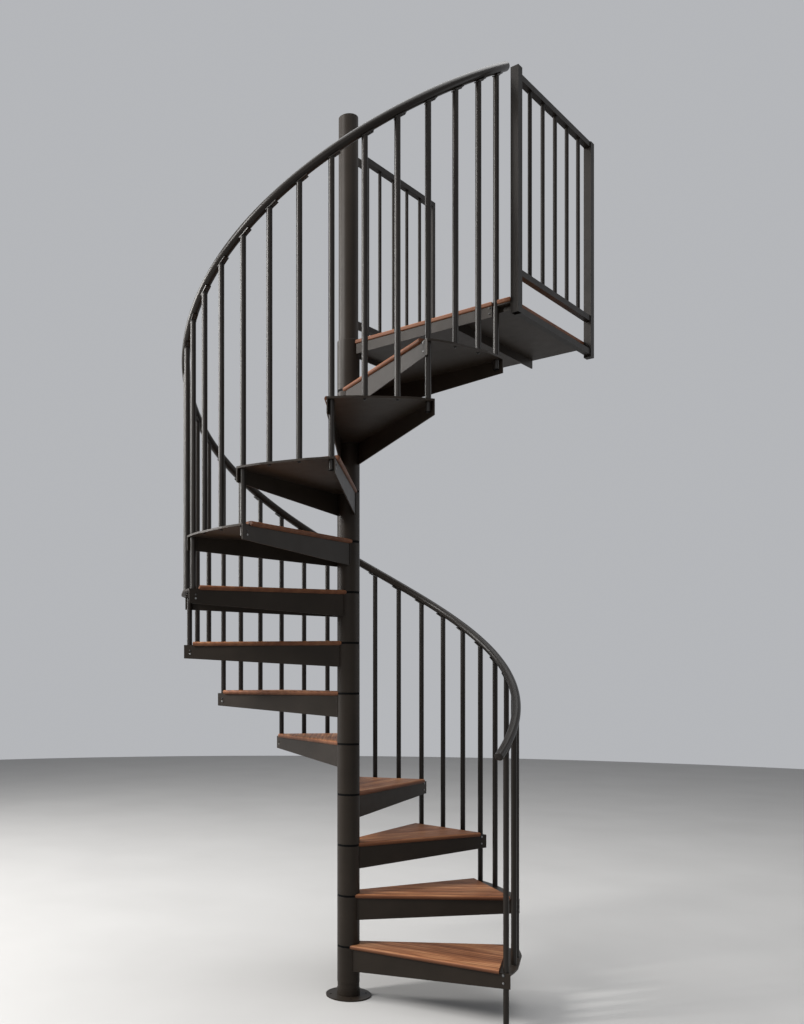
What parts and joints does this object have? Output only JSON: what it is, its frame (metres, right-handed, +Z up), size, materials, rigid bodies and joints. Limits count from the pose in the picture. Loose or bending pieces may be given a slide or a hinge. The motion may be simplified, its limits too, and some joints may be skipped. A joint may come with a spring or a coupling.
{
  "type": "spiral staircase",
  "caption": "Spiral staircase with a steel centre pole, wood-topped treads, tube balusters, a helical handrail and a square landing with guards.",
  "frame": {"origin": "centre of the base plate's underside on the pole's axis, on the floor", "axes": "+Z up the pole, +X along the landing's front edge away from the pole, +Y from that edge towards the wall"},
  "size_m": [1.603, 1.524, 3.998],
  "materials": {
    "dark_steel": "satin charcoal powder coat",
    "stained_wood": "reddish-brown stain under clear satin lacquer",
    "black_nylon": "black nylon spacer ring"
  },
  "bodies": {
    "root": {"base_plate": "dark_steel", "base_collar": "dark_steel", "hub_spacers": "black_nylon", "centre_pole": "dark_steel", "pole_cap": "dark_steel", "tread_01": "dark_steel", "tread_02": "dark_steel", "tread_03": "dark_steel", "tread_04": "dark_steel", "tread_05": "dark_steel", "tread_06": "dark_steel", "tread_07": "dark_steel", "tread_08": "dark_steel", "tread_09": "dark_steel", "tread_10": "dark_steel", "tread_11": "dark_steel", "tread_12": "dark_steel", "tread_board_01": "stained_wood", "tread_board_02": "stained_wood", "tread_board_03": "stained_wood", "tread_board_04": "stained_wood", "tread_board_05": "stained_wood", "tread_board_06": "stained_wood", "tread_board_07": "stained_wood", "tread_board_08": "stained_wood", "tread_board_09": "stained_wood", "tread_board_10": "stained_wood", "tread_board_11": "stained_wood", "tread_board_12": "stained_wood", "newel_post": "dark_steel", "main_balusters": "dark_steel", "rim_balusters": "dark_steel", "handrail_1": "dark_steel", "handrail_2": "dark_steel", "handrail_3": "dark_steel", "handrail_4": "dark_steel", "handrail_caps": "dark_steel", "landing_pan": "dark_steel", "landing_rib": "dark_steel", "landing_board": "stained_wood", "corner_post": "dark_steel", "side_beam": "dark_steel", "outer_guard": "dark_steel", "inner_guard": "dark_steel", "pole_clips": "dark_steel"}
  },
  "joints": []
}
